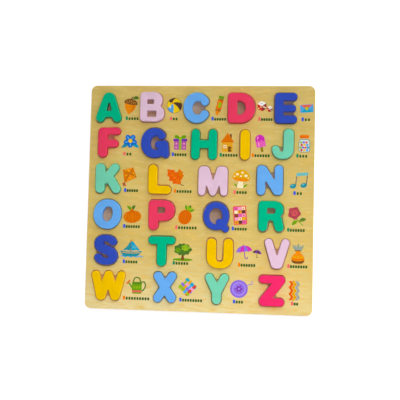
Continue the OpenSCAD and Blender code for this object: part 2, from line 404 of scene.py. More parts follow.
def recess_wall():
    """Cut walls of the recesses, browned by the cutter, with painted shade at the foot where each wall meets the
    floor.
    """
    t = Tree("recess_wall", Specular_IOR_Level=0.2)
    z = t.axis("Z")
    streak = t.noise((1.6, 1.6, 0.12), 3.0, 0.6)
    layer = t.noise((0.04, 0.04, 1.3), 2.0)
    c = t.mix(t.span(layer, 0.35, 0.65), lin(252, 216, 142), lin(240, 196, 120))
    c = t.mix(t.span(streak, 0.45, 0.75, 0.0, 0.28), c, lin(198, 142, 80))
    # painted shade: darker towards the foot of the wall, in the crease with the floor
    c = t.mix(t.span(z, BASE_T, BASE_T + 0.8, 0.16, 0.0), c, lin(180, 126, 70))
    c = t.mix(t.math("MULTIPLY", t.attribute("edge"), 0.5), c, lin(222, 178, 108))
    t.bump(t.math("ADD", streak, layer), 0.1, 0.6)
    return t.done(c, t.span(streak, 0.2, 0.8, 0.6, 0.8))


def recess_floor():
    """Backing sheet as seen in the recesses: dull greyish brown ply."""
    t = Tree("backing_ply", Specular_IOR_Level=0.25)
    g = wavy(t, 12.0)
    broad = t.noise((0.012, 0.14, 0.1), 3.0, 0.55, g)
    fibre = t.noise((0.14, 2.4, 1.0), 3.0, 0.6, g)
    pore = t.noise((0.5, 6.0, 1.0), 1.0, 0.5, g, (7, 0, 0))
    c = t.mix(t.span(broad, 0.3, 0.7), lin(206, 174, 142), lin(190, 156, 124))
    c = t.mix(t.span(fibre, 0.45, 0.75, 0.0, 0.35), c, lin(168, 124, 94))
    c = t.mix(t.span(pore, 0.62, 0.75, 0.0, 0.4), c, lin(136, 94, 68))
    t.bump(t.math("ADD", fibre, t.span(pore, 0.6, 0.75, 0.5, 0.0)), 0.08, 0.6)
    return t.done(c, t.span(fibre, 0.2, 0.8, 0.6, 0.78))


def back_face():
    """Sanded underside of the backing sheet."""
    t = Tree("backing_underside", Specular_IOR_Level=0.3)
    g = wavy(t, 30.0)
    rings = t.noise((0.006, 0.07, 0.1), 4.0, 0.6, g, (3, 9, 0), 0.6)
    fibre = t.noise((0.10, 1.8, 1.0), 3.0, 0.6, g)
    pore = t.noise((0.35, 5.0, 1.0), 1.0, 0.5, g, (21, 0, 0))
    c = t.mix(t.span(rings, 0.35, 0.65), lin(222, 194, 150), lin(198, 162, 112))
    c = t.mix(t.span(fibre, 0.45, 0.75, 0.0, 0.4), c, lin(176, 136, 90))
    c = t.mix(t.span(pore, 0.62, 0.74, 0.0, 0.5), c, lin(140, 102, 64))
    t.bump(t.math("ADD", fibre, t.span(pore, 0.6, 0.75, 0.5, 0.0)), 0.08, 0.6)
    return t.done(c, t.span(fibre, 0.2, 0.8, 0.5, 0.68))


def paint(name, colour, side):
    """Satin toy paint over wood: faint clouding and brush texture, rims rubbed a little paler. The
    sides below the rim are scaled by side as painted light: brighter on the outer walls, plain or darker (painted
    shade) inside the openings."""
    top = max(colour[:3])
    t = Tree(name, Specular_IOR_Level=0.36, Specular_Tint=tuple(x / top for x in colour[:3]) + (1.0,))
    cloud = t.noise((0.07, 0.07, 0.07), 3.0, 0.55)
    grain = t.noise((0.08, 1.1, 0.5), 2.0, 0.55, None, (11, 0, 0))
    peel = t.noise((1.5, 1.5, 1.5), 2.0, 0.5)
    speck = t.noise((0.9, 0.9, 0.9), 1.0, 0.5, None, (5, 31, 8))
    c = t.mix(t.span(cloud, 0.3, 0.7), tone(colour, 0.96), tone(colour, 1.035))
    c = t.mix(t.span(grain, 0.5, 0.75, 0.0, 0.12), c, tone(colour, 0.84))
    # painted light: below the rim the colour is scaled by side, brighter on the outer walls and darker as painted
    # shade inside some openings
    c = t.mix(t.span(t.axis("Z"), LETTER_Z - 0.25, LETTER_Z - 1.0, 0.0, 0.85), c, tone(colour, side))
    rub = t.math("MULTIPLY", t.attribute("edge"), t.span(speck, 0.45, 0.70, 0.0, 0.22))
    pale = tuple(x + (0.92 - x) * 0.42 for x in colour[:3]) + (1.0,)
    c = t.mix(rub, c, pale)
    rough = t.span(t.math("ADD", t.math("MULTIPLY", peel, 0.5), t.math("MULTIPLY", cloud, 0.5)), 0.3, 0.7, 0.32, 0.48)
    t.bump(t.math("ADD", t.math("MULTIPLY", peel, 0.6), t.math("MULTIPLY", grain, 0.6)), 0.06, 0.45)
    return t.done(c, rough)


def ink(name, colour):
    """Printed ink on the lacquered face: the wood's fine grain shows faintly through."""
    top = max(colour[:3])
    t = Tree(name, Specular_IOR_Level=0.30, Specular_Tint=tuple(x / top for x in colour[:3]) + (1.0,))
    g = wavy(t, 9.0)
    fine = t.noise((0.3, 3.6, 2.0), 2.0, 0.6, g)
    mottle = t.noise((0.5, 0.5, 0.5), 2.0, 0.5)
    c = t.mix(t.span(mottle, 0.3, 0.7), tone(colour, 0.95), tone(colour, 1.04))
    c = t.mix(t.span(fine, 0.52, 0.75, 0.0, 0.12), c, lin(214, 180, 104))
    t.bump(fine, 0.03, 0.4)
    return t.done(c, t.span(fine, 0.25, 0.75, 0.38, 0.54))


# ---------------------------------------------------------------- board

M_FACE = wood_face()
M_WALL = recess_wall()
M_TOP_EDGE = ply_edge("face_panel_edge", 1.0, lin(214, 180, 122), lin(168, 122, 70))
M_BASE_EDGE = ply_edge("backing_edge", 1.0, lin(206, 172, 122), lin(150, 108, 66))
M_FLOOR = recess_floor()
M_BACK = back_face()

plate_loops = outline("top_plate", FACE_Z)
mesh = slab(
    "board_panel", plate_loops, BASE_T, FACE_Z, (0.9, 0.35), (0.25, 0.12),
    [M_FACE, M_TOP_EDGE, M_WALL, M_FLOOR],
    {"top": 0, "rim": 0, "outer": 1, "hole": 2, "low": 3},
)
panel = add_object("board_panel", mesh, "board")
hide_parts("top_plate")

mesh = slab(
    "board_backing", outline("base_plate", BASE_T), 0.0, BASE_T, (0.25, 0.25), (0.8, 0.8),
    [M_FLOOR, M_BASE_EDGE, M_BACK],
    {"top": 0, "rim": 1, "outer": 1, "hole": 1, "low": 2},
)
backing = add_object("board_backing", mesh, "board")
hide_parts("base_plate")

# ---------------------------------------------------------------- letters

PAINT_RGB = {
    "paint_green": (0, 178, 130),
    "paint_pink": (223, 191, 211),
    "paint_sky": (103, 170, 235),
    "paint_crimson": (232, 60, 95),
    "paint_royal": (49, 76, 180),
    "paint_yellow": (237, 189, 0),
    "paint_mint": (114, 206, 172),
}
INNER_SHADE = {"paint_green": 0.4, "paint_crimson": 0.45}  # painted shade: these two are darkened on their sides inside the openings
rose = paint("paint_rose", lin(240, 44, 105), 1.3)  # the last letter's red is rosier and brighter
for slot_name, members in PAINTS.items():
    # outer sides painted 1.3 times brighter as painted light; the copy for the openings keeps them plain or darkens
    # them as painted shade
    mats = [paint(slot_name, lin(*PAINT_RGB[slot_name]), 1.3)]
    if any(ch in "abdopqr" for ch in members):
        mats.append(paint(slot_name + "_shaded_inner", lin(*PAINT_RGB[slot_name]), INNER_SHADE.get(slot_name, 1.0)))
    for ch in members:
        loops = outline("letter_" + ch, LETTER_Z)
        mesh = slab(
            "painted_" + ch, loops, BASE_T, LETTER_Z, (0.7, 0.9), (0.5, 0.5),
            [rose] if ch == "z" else mats[: len(loops)],
            {"top": 0, "rim": 0, "outer": 0, "hole": 1, "low": 0},
        )
        obj = add_object("painted_" + ch, mesh, "letter_" + ch)
        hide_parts("letter_" + ch)

# ---------------------------------------------------------------- print on the face

INKS = {
    "amber": (238, 138, 12), "orange": (230, 92, 6), "gold": (226, 168, 4), "lemon": (240, 204, 16),
    "cream": (246, 230, 186), "tan": (226, 158, 70), "brown": (118, 70, 30), "cocoa": (72, 50, 42),
    "red": (214, 52, 30), "coral": (234, 96, 84), "rosewood": (186, 70, 84), "dusk": (146, 44, 60),
    "pink": (226, 90, 184), "blush": (244, 156, 196), "magenta": (204, 40, 178), "plum": (122, 52, 170),
    "violet": (140, 104, 218), "lilac": (172, 142, 236), "mauve": (184, 90, 160), "blue": (16, 106, 200),
    "azure": (76, 164, 226), "cyan": (8, 160, 198), "teal": (24, 142, 158), "aqua": (104, 186, 190),
    "sage": (136, 156, 132), "olive": (132, 118, 10), "green": (104, 156, 14), "lime": (146, 186, 24),
    "forest": (70, 112, 38), "slate": (82, 92, 94), "grey": (150, 160, 156), "white": (248, 246, 238),
    "glass": (204, 222, 220), "bead_dark": (46, 84, 34), "bead_green": (24, 140, 92), "bead_coral": (240, 106, 106),
    "bead_blue": (52, 92, 216), "bead_orange": (242, 126, 8), "rust": (212, 78, 4), "ember": (222, 116, 2),
    "honey": (228, 164, 34),
}
ink_mats = {}


def ink_mat(name):
    if name not in ink_mats:
        ink_mats[name] = ink("ink_" + name, lin(*INKS[name]))
    return ink_mats[name]


def ell(x, y, rx, ry=None, turn=0.0, n=36):
    ry = rx if ry is None else ry
    c, s = math.cos(math.radians(turn)), math.sin(math.radians(turn))
    return [
        (x + rx * math.cos(a) * c - ry * math.sin(a) * s, y + rx * math.cos(a) * s + ry * math.sin(a) * c)
        for a in (2 * math.pi * k / n for k in range(n))
    ]


def spline(pts, closed=True, n=6):
    """Smooth curve through the points."""
    out, k = [], len(pts)
    for i in range(k if closed else k - 1):
        p0, p1, p2, p3 = (
            pts[(i + d) % k] if closed else pts[min(max(i + d, 0), k - 1)] for d in (-1, 0, 1, 2)
        )
        for s in range(n):
            t = s / n
            out.append(tuple(
                0.5 * (2 * b + (c - a) * t + (2 * a - 5 * b + 4 * c - d) * t * t + (3 * b - a - 3 * c + d) * t ** 3)
                for a, b, c, d in zip(p0, p1, p2, p3)
            ))
    if not closed:
        out.append(tuple(pts[-1]))
    return out


def ribbon(pts, w0, w1=None, n=6, curve=True):
    """A line of the given width along a smooth path, with round ends."""
    w1 = w0 if w1 is None else w1
    path = np.array(spline(pts, False, n) if curve and len(pts) > 2 else pts, float)
    T = np.gradient(path, axis=0)
    T /= np.hypot(T[:, 0], T[:, 1])[:, None]
    N = np.c_[-T[:, 1], T[:, 0]]
    w = np.linspace(w0, w1, len(path))[:, None] / 2
    left, right = path + N * w, path - N * w

    def round_end(c, t, r):
        a0 = math.atan2(t[1], t[0]) + math.pi / 2
        return [(c[0] + r * math.cos(a0 - math.pi * k / 6), c[1] + r * math.sin(a0 - math.pi * k / 6)) for k in range(1, 6)]

    return (
        [tuple(p) for p in left] + round_end(path[-1], T[-1], w[-1][0])
        + [tuple(p) for p in right[::-1]] + round_end(path[0], -T[0], w[0][0])
    )


def rrect(x, y, w, h, r, turn=0.0):
    c, s = math.cos(math.radians(turn)), math.sin(math.radians(turn))
    r = min(r, w / 2 - 1e-3, h / 2 - 1e-3)
    out = []
    for q, (sx, sy) in enumerate(((1, 1), (-1, 1), (-1, -1), (1, -1))):
        for k in range(6):
            a = math.pi / 2 * (q + k / 5)
            px, py = sx * (w / 2 - r) + r * math.cos(a), sy * (h / 2 - r) + r * math.sin(a)
            out.append((x + px * c - py * s, y + px * s + py * c))
    return out


def leaf(base, tip, width, sway=0.0, n=12):
    (x0, y0), (x1, y1) = base, tip
    dx, dy = x1 - x0, y1 - y0
    size = math.hypot(dx, dy)
    nx, ny = -dy / size, dx / size
    one, two = [], []
    for k in range(n + 1):
        t = k / n
        h = width / 2 * math.sin(math.pi * t) ** 0.85 if 0 < t < 1 else 0.0
        m = sway * math.sin(math.pi * t)
        cx, cy = x0 + dx * t + nx * m, y0 + dy * t + ny * m
        one.append((cx + nx * h, cy + ny * h))
        two.append((cx - nx * h, cy - ny * h))
    return one + two[-2:0:-1]


def polar(x, y, f, n=96):
    return [
        (x + f(a) * math.cos(a), y + f(a) * math.sin(a)) for a in (2 * math.pi * k / n for k in range(n))
    ]


def arc(x, y, r, a0, a1, n=16, ry=None):
    ry = r if ry is None else ry
    return [
        (x + r * math.cos(a), y + ry * math.sin(a))
        for a in (math.radians(a0 + (a1 - a0) * k / n) for k in range(n + 1))
    ]


class Print:
    """One printed picture: flat ink shapes laid over each other on the face."""

    def __init__(self, name, x, y, turn=0.0, size=1.0):
        self.name, self.level, self.shapes = name, 0, []
        self.set(x, y, turn, size)

    def set(self, x, y, turn=0.0, size=1.0):
        c, s = math.cos(math.radians(turn)) * size, math.sin(math.radians(turn)) * size
        self.map = lambda p: (x + p[0] * c - p[1] * s, y + p[0] * s + p[1] * c)

    def put(self, ink_name, *loops):
        self.shapes.append((ink_name, self.level, [[self.map(p) for p in l] for l in loops]))

    def over(self):
        self.level += 1

    def build(self):
        verts, faces, index, names = [], [], [], []
        for ink_name, level, loops in self.shapes:
            if ink_name not in names:
                names.append(ink_name)
            rings = []
            for k, l in enumerate(loops):
                P = tidy([p for p in l]) if len(l) > 6 else np.array(l, float)
                rings.append(P if (area(P) > 0) == (k == 0) else P[::-1])
            z0, z1 = FACE_Z - 0.03, FACE_Z + 0.03 + 0.02 * level
            low, top = [], []
            for ids, z in ((low, z0), (top, z1)):
                for P in rings:
                    ids.append(range(len(verts), len(verts) + len(P)))
                    verts += [(x * MM, y * MM, z * MM) for x, y in P]
            made = []
            for a, b in zip(low, top):
                for i in range(len(a)):
                    j = (i + 1) % len(a)
                    made.append((a[i], a[j], b[j], b[i]))
            made += [[top[r][i] for r, i in tri] for tri in cap(rings, True)]
            made += [[low[r][i] for r, i in tri] for tri in cap(rings, False)]
            faces += made
            index += [names.index(ink_name)] * len(made)
        mesh = bpy.data.meshes.new("print_" + self.name)
        mesh.from_pydata(verts, [], faces)
        for n in names:
            mesh.materials.append(ink_mat(n))
        mesh.polygons.foreach_set("material_index", index)
        mesh.update()
        return add_object("print_" + self.name, mesh, "board")


prints = []


def picture(name, x, y, turn=0.0, size=1.0):
    p = Print(name, x, y, turn, size)
    prints.append(p)
    return p


# acorn
p = picture("acorn", -96.0, 122.5, -10, 1.08)
p.put("amber", spline([(0, -11), (2.8, -8.2), (6.2, -3.6), (7.0, 0.6), (6.2, 3.4), (-6.2, 3.4), (-7.0, 0.6), (-6.2, -3.6), (-2.8, -8.2)]))
p.put("forest", leaf((1.4, 9.4), (9.2, 11.4), 4.2, 0.8))
p.over()
p.put("ember", spline([(0.6, -10.0), (4.4, -5.2), (5.8, 0.4), (3.6, 1.4), (3.2, -3.6)]))
p.put("brown", spline([(-8.4, 2.6), (-7.4, 5.9), (-3.9, 8.2), (0, 8.8), (3.9, 8.2), (7.4, 5.9), (8.4, 2.6), (4.2, 1.8), (0, 1.5), (-4.2, 1.8)]))
p.over()
for r, (yy, k) in enumerate(((3.4, 6), (5.2, 5), (6.9, 3))):
    for i in range(k):
        p.put("tan", ell((i - (k - 1) / 2) * 2.4, yy, 0.62, 0.5, n=14))
p.put("cocoa", ribbon([(0, 8.0), (0.2, 9.8), (1.2, 11.4)], 1.5, 1.1))

# ball
p = picture("ball", -36.0, 123.0)
pole, R = (-2.6, 3.6), 9.8


def wedge(a0, a1, bend):
    def side(a, flip):
        q = (R * math.cos(math.radians(a)), R * math.sin(math.radians(a)))
        d = (q[0] - pole[0], q[1] - pole[1])
        size = math.hypot(*d)
        pts = []
        for k in range(9):
            t = k / 8
            m = bend * math.sin(math.pi * t)
            pts.append((pole[0] + d[0] * t - d[1] / size * m, pole[1] + d[1] * t + d[0] / size * m))
        return pts[::-1] if flip else pts

    return side(a0, False) + arc(0, 0, R, a0, a1, 12)[1:-1] + side(a1, True)[:-1]


p.put("cocoa", ell(0, 0, R + 0.5, n=60))
p.over()
for k, colour in enumerate(("lemon", "cocoa", "lemon", "azure", "lemon", "cocoa")):
    p.put(colour, wedge(20 + 60 * k, 80 + 60 * k, 1.1))
p.over()
p.put("gold", ell(pole[0], pole[1], 1.7))
p.put("cream", ell(-5.6, -1.8, 0.8, 2.0, 12))

# crayon
p = picture("crayon", 24.0, 123.0, -14)
p.put("orange", rrect(0, 1.0, 7.2, 17.0, 0.6))
p.put("green", rrect(0, 11.6, 7.2, 3.8, 1.2))
p.put("amber", [(-3.2, -7.6), (-1.1, -13.0), (1.1, -13.0), (3.2, -7.6)])
p.over()
p.put("amber", rrect(-1.9, 1.1, 1.5, 15.2, 0.6))
p.put("forest", rrect(0, 8.7, 7.2, 1.0, 0.2))
p.put("forest", rrect(0, -6.2, 7.2, 1.0, 0.2))
p.over()
p.put("lime", ell(0.5, 1.2, 2.2, 4.4))

# dice
p = picture("dice", 84.5, 122.0)


def die(x, y, e, turn):
    p.set(84.5 + x, 122.0 + y, turn)
    h = e * 0.866
    faces = {
        "white": ((0, 0), (h, e / 2), (-h, e / 2)),
        "red": ((0, 0), (-h, e / 2), (0, -e)),
        "dusk": ((0, 0), (0, -e), (h, e / 2)),
    }
    spots = {"white": [(0.5, 0.5)], "red": [(0.25, 0.25), (0.75, 0.75)], "dusk": [(0.25, 0.25), (0.5, 0.5), (0.75, 0.75)]}
    for colour, (o, u, v) in faces.items():
        p.put(colour, [o, u, (u[0] + v[0], u[1] + v[1]), v])
    p.over()
    for colour, (o, u, v) in faces.items():
        for a, b in spots[colour]:
            cx, cy = u[0] * a + v[0] * b, u[1] * a + v[1] * b
            p.put("grey" if colour == "white" else "cream", [
                (cx + 0.13 * (u[0] * math.cos(w) + v[0] * math.sin(w)), cy + 0.13 * (u[1] * math.cos(w) + v[1] * math.sin(w)))
                for w in (2 * math.pi * k / 18 for k in range(18))
            ])
    p.level = 0


die(-4.0, 0.8, 6.9, 6)
die(6.2, -3.0, 4.2, -12)

# envelope
p = picture("envelope", 139.0, 120.0, 4)
p.put("azure", rrect(0, 0, 17.0, 10.8, 1.0))
p.over()
p.put("cyan", [(-8.0, -4.9), (8.0, -4.9), (0, 1.4)])
p.over()
p.put("coral", [(-8.1, 4.9), (0, -1.4), (8.1, 4.9)])
p.over()
p.put("lime", ell(0, -0.2, 2.3))
p.over()
p.put("lemon", polar(0, -0.2, lambda a: 1.1 + 0.4 * math.cos(5 * a), 50))

# flower
p = picture("flower", -94.5, 74.0)
p.put("cyan", leaf((1, -3), (11.8, -8.2), 5.0, 1.0))
p.put("teal", leaf((-1, -3), (-11.8, -8.6), 5.0, -1.0))
p.over()
p.put("blue", polar(0, 1.0, lambda a: 9.4 * (0.60 + 0.40 * abs(math.cos(2.5 * (a + 0.31))) ** 0.8), 140))
p.over()
for k in range(5):
    a = 72 * k - 17.8
    p.put("azure", ell(5.4 * math.cos(math.radians(a)), 1 + 5.4 * math.sin(math.radians(a)), 2.3, 1.0, a, 20))
p.put("lemon", ell(0, 1.0, 2.8))
p.over()
for k in range(6):
    p.put("amber", ell(1.6 * math.cos(k * 1.047), 1 + 1.6 * math.sin(k * 1.047), 0.45, n=10))

# gift box
p = picture("gift", -27.0, 73.0)
p.put("mauve", rrect(0, -3.2, 16.4, 12.4, 0.8))
p.over()
p.put("plum", rrect(0, 3.7, 18.6, 3.8, 0.8))
for x, y in ((-5.2, -1.2), (5.2, -1.2), (-5.2, -6.4), (5.2, -6.4)):
    p.put("blush", ell(x, y, 1.1, n=18))
p.over()
p.put("lime", rrect(0, -1.9, 3.2, 15.0, 0.3))
p.over()
p.put("green", spline([(0, 5.4), (2.6, 9.4), (6.8, 10.2), (7.6, 7.2), (3.4, 5.2)]))
p.put("green", spline([(0, 5.4), (-3.4, 5.2), (-7.6, 7.2), (-6.8, 10.2), (-2.6, 9.4)]))
p.over()
p.put("lime", ell(0, 6.0, 1.8, 1.5))

# house
p = picture("house", 36.0, 74.0)
p.put("brown", rrect(4.2, 8.2, 2.6, 6.4, 0.3))
p.over()
p.put("honey", rrect(0, -5.6, 14.0, 13.6, 0.5))
p.over()
p.put("ember", spline([(-8.6, 0.9), (-7.6, 0.2), (0, 0.2), (7.6, 0.2), (8.6, 0.9), (4.6, 6.4), (0.6, 12.2), (-0.6, 12.2), (-4.6, 6.4)], n=4))
p.put("brown", rrect(3.0, -8.8, 4.4, 7.0, 0.6))
p.put("cream", rrect(-3.2, -5.4, 4.4, 4.4, 0.4))
p.over()
for y, w in ((2.2, 10.6), (4.8, 7.0), (7.4, 3.4)):
    p.put("rust", ribbon([(-w / 2, y), (0, y - 0.5), (w / 2, y)], 0.6))
p.put("tan", rrect(-3.2, -5.4, 0.7, 4.4, 0.1))
p.put("tan", rrect(-3.2, -5.4, 4.4, 0.7, 0.1))
p.put("lemon", ell(4.3, -8.8, 0.55, n=12))

# ice lolly
p = picture("ice_lolly", 79.5, 74.5, 12)
p.put("olive", rrect(0, -9.0, 3.2, 8.0, 1.4))
p.over()
p.put("pink", arc(0, 4.2, 6.2, 0, 180, 20) + arc(-5.0, -5.0, 1.2, 180, 270, 4) + arc(5.0, -5.0, 1.2, 270, 360, 4))
p.over()
p.put("magenta", arc(0, 4.2, 6.2, 0, 180, 20) + spline([(-6.2, 3.4), (-4.6, 1.4), (-2.8, 3.6), (-0.6, 1.2), (1.6, 3.4), (3.8, 0.8), (6.2, 3.4)], False)[1:-1])
p.put("blush", rrect(-2.6, -2.4, 1.5, 5.4, 0.7))
p.over()
p.put("blush", ell(-2.6, 6.6, 0.9, 2.0, -28))

# jar
p = picture("jar", 136.5, 74.0)
p.put("slate", rrect(0, -3.2, 14.6, 17.4, 3.6))
p.put("orange", rrect(0, 9.0, 12.0, 4.2, 1.0))
p.over()
p.put("glass", rrect(0, -3.2, 13.4, 16.2, 3.0))
p.put("amber", rrect(0, 9.9, 12.0, 1.2, 0.4))
p.over()
k = 0
for row, (y, xs) in enumerate(((-9.0, (-3.6, 0, 3.6)), (-5.6, (-4.8, -1.6, 1.6, 4.8)), (-2.2, (-3.4, 0.2, 3.8)), (1.2, (-4.4, -0.8, 2.8)))):
    for x in xs:
        p.put(("red", "lemon", "azure", "lime", "violet", "coral", "cyan")[k % 7], ell(x, y, 1.6, n=24))
        k += 1

# kite
p = picture("kite", -95.5, 28.0, -28)
quads = [(0, 12.6), (10.8, 3.2), (0, -11.4), (-10.8, 3.2)]
for k in range(4):
    p.put(("ember", "amber")[k % 2], [(0, 3.2), quads[k], quads[(k + 1) % 4]])
p.put("cocoa", ribbon([(0, -11.4), (1.9, -12.8), (-0.7, -14.0), (1.5, -15.6)], 0.8))
p.over()
for x, y in ((4.0, 6.0), (-4.0, 6.0), (-3.4, -1.6), (3.4, -1.6), (-6.8, 3.4), (6.8, 3.4)):
    p.put("lemon", ell(x, y, 0.85, n=16))
p.put("brown", ribbon([(0, 11.8), (0, -10.6)], 0.55, curve=False))
p.put("brown", ribbon([(-10.0, 3.2), (10.0, 3.2)], 0.55, curve=False))
p.over()
p.put("red", leaf((0.8, -13.2), (-2.6, -12.2), 2.2))
p.put("red", leaf((0.6, -13.6), (3.8, -13.8), 2.2))

# leaves
p = picture("leaves", -32.0, 28.0, 38)


def lobed(x0, y0, x1, y1, width, lobes):
    dx, dy = x1 - x0, y1 - y0
    size = math.hypot(dx, dy)
    nx, ny = -dy / size, dx / size
    one, two = [], []
    for k in range(61):
        t = k / 60
        h = width / 2 * math.sin(math.pi * min(1, t * 1.02) ** 0.9) ** 0.75 * (1 + 0.20 * math.cos(2 * math.pi * lobes * t)) if 0 < t < 0.98 else 0.02
        one.append((x0 + dx * t + nx * h, y0 + dy * t + ny * h))
        two.append((x0 + dx * t - nx * h, y0 + dy * t - ny * h))
    return one + two[::-1]


p.put("ember", lobed(3.0, -8.5, 9.9, 5.4, 8.4, 3))
p.over()
p.put("orange", lobed(-1.0, -12.0, -3.0, 14.6, 14.0, 4))
p.put("brown", ribbon([(-1.0, -11.0), (-0.4, -14.2), (1.6, -16.0)], 1.1, 0.8))
p.over()
p.put("amber", ribbon([(-1.0, -11.0), (-1.9, 1), (-2.9, 11.5)], 0.7, 0.4))
for t in (0.2, 0.4, 0.6):
    x, y = -1.0 - 2.0 * t, -12 + 26 * t
    p.put("amber", ribbon([(x + 0.6, y), (x + 4.2, y + 3.4)], 0.55, 0.3, curve=False))
    p.put("amber", ribbon([(x - 0.6, y), (x - 4.2, y + 3.0)], 0.55, 0.3, curve=False))

# mushroom
p = picture("mushroom", 55.0, 26.0, -6)
p.put("cream", spline([(-3.4, 1), (-3.0, -5), (-4.2, -11), (0, -12.4), (4.2, -11), (3.0, -5), (3.4, 1)]))
p.put("green", leaf((4.4, -11.6), (9.4, -6.2), 2.4, 0.8))
p.put("green", leaf((-4.4, -11.6), (-8.6, -7.0), 2.2, -0.8))
p.over()
p.put("amber", ell(0, -0.4, 10.6, 3.0))
p.over()
p.put("gold", spline([(-11.6, 0.2), (-10.4, 5.8), (-6.0, 10.4), (0, 12.2), (6.0, 10.4), (10.4, 5.8), (11.6, 0.2), (6.0, 0.8), (0, 1.2), (-6.0, 0.8)]))
p.over()
for x, y, r in ((-5.6, 5.6, 1.9), (0.8, 8.4, 1.6), (5.8, 4.8, 2.1), (-0.6, 3.6, 1.3), (-9.0, 2.4, 1.1), (9.2, 2.2, 0.9)):
    p.put("cream", ell(x, y, r, r * 0.85, n=26))

# notes
p = picture("notes", 131.0, 25.0, -6)
p.put("slate", ribbon([(-4.2, -7.6), (-4.2, 8.6)], 1.2, curve=False))
p.put("slate", ribbon([(9.4, -5.0), (9.4, 11.4)], 1.2, curve=False))
p.over()
p.put("teal", ell(-7.4, -8.2, 4.2, 3.1, 22))
p.put("teal", ell(6.2, -5.6, 4.2, 3.1, 22))
p.put("aqua", [(-4.8, 5.2), (10.0, 8.0), (10.0, 12.2), (-4.8, 9.4)])
p.over()
p.put("aqua", ell(-8.2, -7.4, 1.6, 0.8, 22, 20))
p.put("aqua", ell(5.4, -4.8, 1.6, 0.8, 22, 20))

# onion
p = picture("onion", -89.0, -25.0, 6, 1.08)
p.put("green", leaf((-0.6, 6.0), (-5.8, 12.0), 3.8, -0.8))
p.put("forest", leaf((0.6, 6.0), (5.0, 12.2), 3.6, 0.8))
p.put("tan", ribbon([(-0.8, -8.6), (-2.2, -10.6)], 0.8, 0.3, curve=False))
p.put("tan", ribbon([(0.8, -8.6), (1.8, -10.8)], 0.8, 0.3, curve=False))
p.over()
p.put("ember", spline([(0, 8.6), (2.4, 5.8), (8.0, 4.0), (11.2, -1.0), (9.0, -6.6), (3.4, -9.1), (0, -9.4), (-3.4, -9.1), (-9.0, -6.6), (-11.2, -1.0), (-8.0, 4.0), (-2.4, 5.8)]))
p.over()
for s in (-1, 1):
    for k in (0.36, 0.78):
        p.put("rust", ribbon([(0.9 * s * k, 6.0), (7.4 * s * k, 1.8), (8.8 * s * k, -3.0), (2.8 * s * k, -8.4)], 0.6, 0.5))
p.put("amber", ribbon([(-6.4, 2.4), (-8.6, -0.6), (-8.4, -3.4)], 1.0, 0.6))

# pineapple
p = picture("pineapple", -16.5, -22.5, -26)
for tip, base, w, colour in (((-6.8, 11.4), (-1.6, 4.8), 3.2, "green"), ((6.8, 11.4), (1.6, 4.8), 3.2, "green"), ((0, 14.2), (0, 4.8), 3.8, "forest")):
    p.put(colour, leaf(base, tip, w))
p.over()
p.put("lime", leaf((-0.8, 5.0), (-3.4, 12.8), 2.8, -0.6))
p.put("lime", leaf((0.8, 5.0), (3.4, 12.8), 2.8, 0.6))
p.put("ember", ell(0, -3.8, 8.8, 9.8, n=60))
p.over()
for s in (-1, 1):
    for k in range(-3, 4):
        q = []
        for t in range(-60, 61):
            x = t / 60 * 8.6
            y = -3.8 + s * 1.1 * x + k * 3.9
            if (x / 8.3) ** 2 + ((y + 3.8) / 9.3) ** 2 < 1:
                q.append((x, y))
        if len(q) > 6:
            p.put("rust", ribbon([q[0], q[-1]], 0.6, curve=False))
    p.over()

# quilt patch
p = picture("quilt", 54.5, -22.0, 5)
p.put("coral", rrect(0, 0, 17.6, 25.0, 1.6))
p.over()
patch = ("gold", "blush", "cocoa", "cream", "blush", "coral")
for i in range(3):
    for j in range(5):
        p.put(("gold", "blush", "cocoa", "cream", "pink")[(i * 2 + j) % 5], rrect((i - 1) * 4.9, (j - 2) * 4.5, 4.5, 4.1, 0.5))
p.over()
for i in range(3):
    for j in range(5):
        if (i + j) % 2 == 0:
            p.put("red", rrect((i - 1) * 4.9, (j - 2) * 4.5, 1.7, 1.7, 0.2, 45))

# rose
p = picture("rose", 128.5, -22.0)
p.put("green", ribbon([(-3.0, 1.0), (2.0, -5.6), (7.4, -11.4)], 1.3, 1.0))
p.put("forest", leaf((2.6, -6.2), (12.2, -3.2), 4.6, 0.8))
p.put("green", leaf((1.2, -5.2), (-6.4, -11.4), 4.6, -0.8))
p.over()
p.put("lime", ribbon([(3.6, -5.8), (11.0, -3.6)], 0.5, 0.3, curve=False))
p.put("rosewood", polar(-3.6, 4.4, lambda a: 7.9 + 0.8 * math.cos(5 * a + 0.6), 120))
p.over()
p.put("dusk", ribbon([(-9.4, 5.2), (-7.4, 0.6), (-2.6, -1.0), (2.0, 1.6)], 0.9, 0.5))
p.put("dusk", ribbon([(2.6, 3.6), (1.6, 8.6), (-3.4, 10.4), (-7.4, 8.0)], 0.9, 0.5))
p.put("coral", ribbon([(-6.6, 3.2), (-4.4, 1.6), (-1.4, 2.4), (-0.4, 5.2), (-2.6, 7.4), (-5.2, 6.4), (-4.8, 4.2), (-3.0, 4.4)], 0.9, 0.6))

